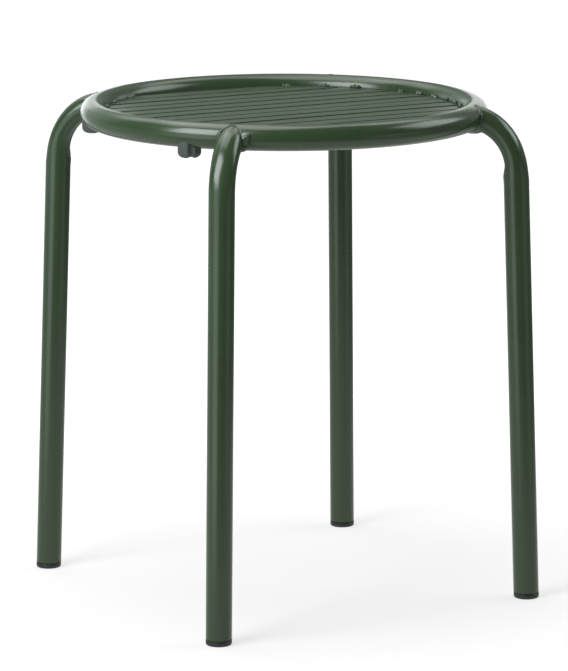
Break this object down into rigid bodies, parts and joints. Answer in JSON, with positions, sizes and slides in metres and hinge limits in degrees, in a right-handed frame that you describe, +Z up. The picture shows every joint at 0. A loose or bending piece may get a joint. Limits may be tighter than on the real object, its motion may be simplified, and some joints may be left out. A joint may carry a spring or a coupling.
{
  "type": "round slatted stool",
  "caption": "Round backless stool: a welded steel tube ring with flat parallel slats on bent, slightly splayed tube legs, with plastic glides and stacking buffers.",
  "frame": {"origin": "on the floor, under the middle of the round seat", "axes": "+Z up; the slats run along X; the legs stand on the diagonals between X and Y"},
  "size_m": [0.368, 0.368, 0.45],
  "materials": {
    "frame_steel": "dark green semi-gloss powder coat",
    "glide_plastic": "black moulded plastic",
    "buffer_plastic": "grey-green moulded plastic"
  },
  "bodies": {
    "root": {"seat_ring": "frame_steel", "slat_01": "frame_steel", "slat_02": "frame_steel", "slat_03": "frame_steel", "slat_04": "frame_steel", "slat_05": "frame_steel", "slat_06": "frame_steel", "slat_07": "frame_steel", "slat_08": "frame_steel", "slat_09": "frame_steel", "slat_10": "frame_steel", "slat_11": "frame_steel", "slat_12": "frame_steel", "slat_13": "frame_steel", "slat_bead_left_01": "frame_steel", "slat_bead_left_02": "frame_steel", "slat_bead_left_03": "frame_steel", "slat_bead_left_04": "frame_steel", "slat_bead_left_05": "frame_steel", "slat_bead_left_06": "frame_steel", "slat_bead_left_07": "frame_steel", "slat_bead_left_08": "frame_steel", "slat_bead_left_09": "frame_steel", "slat_bead_left_10": "frame_steel", "slat_bead_left_11": "frame_steel", "slat_bead_left_12": "frame_steel", "slat_bead_left_13": "frame_steel", "slat_bead_right_01": "frame_steel", "slat_bead_right_02": "frame_steel", "slat_bead_right_03": "frame_steel", "slat_bead_right_04": "frame_steel", "slat_bead_right_05": "frame_steel", "slat_bead_right_06": "frame_steel", "slat_bead_right_07": "frame_steel", "slat_bead_right_08": "frame_steel", "slat_bead_right_09": "frame_steel", "slat_bead_right_10": "frame_steel", "slat_bead_right_11": "frame_steel", "slat_bead_right_12": "frame_steel", "slat_bead_right_13": "frame_steel", "leg_back_left": "frame_steel", "leg_back_right": "frame_steel", "leg_front_left": "frame_steel", "leg_front_right": "frame_steel", "leg_bead_back_left": "frame_steel", "leg_bead_back_right": "frame_steel", "leg_bead_front_left": "frame_steel", "leg_bead_front_right": "frame_steel", "foot_glide_back_left": "glide_plastic", "foot_glide_back_right": "glide_plastic", "foot_glide_front_left": "glide_plastic", "foot_glide_front_right": "glide_plastic", "stacking_buffer_back_left": "buffer_plastic", "stacking_buffer_back_right": "buffer_plastic", "stacking_buffer_front_left": "buffer_plastic", "stacking_buffer_front_right": "buffer_plastic"}
  },
  "joints": []
}
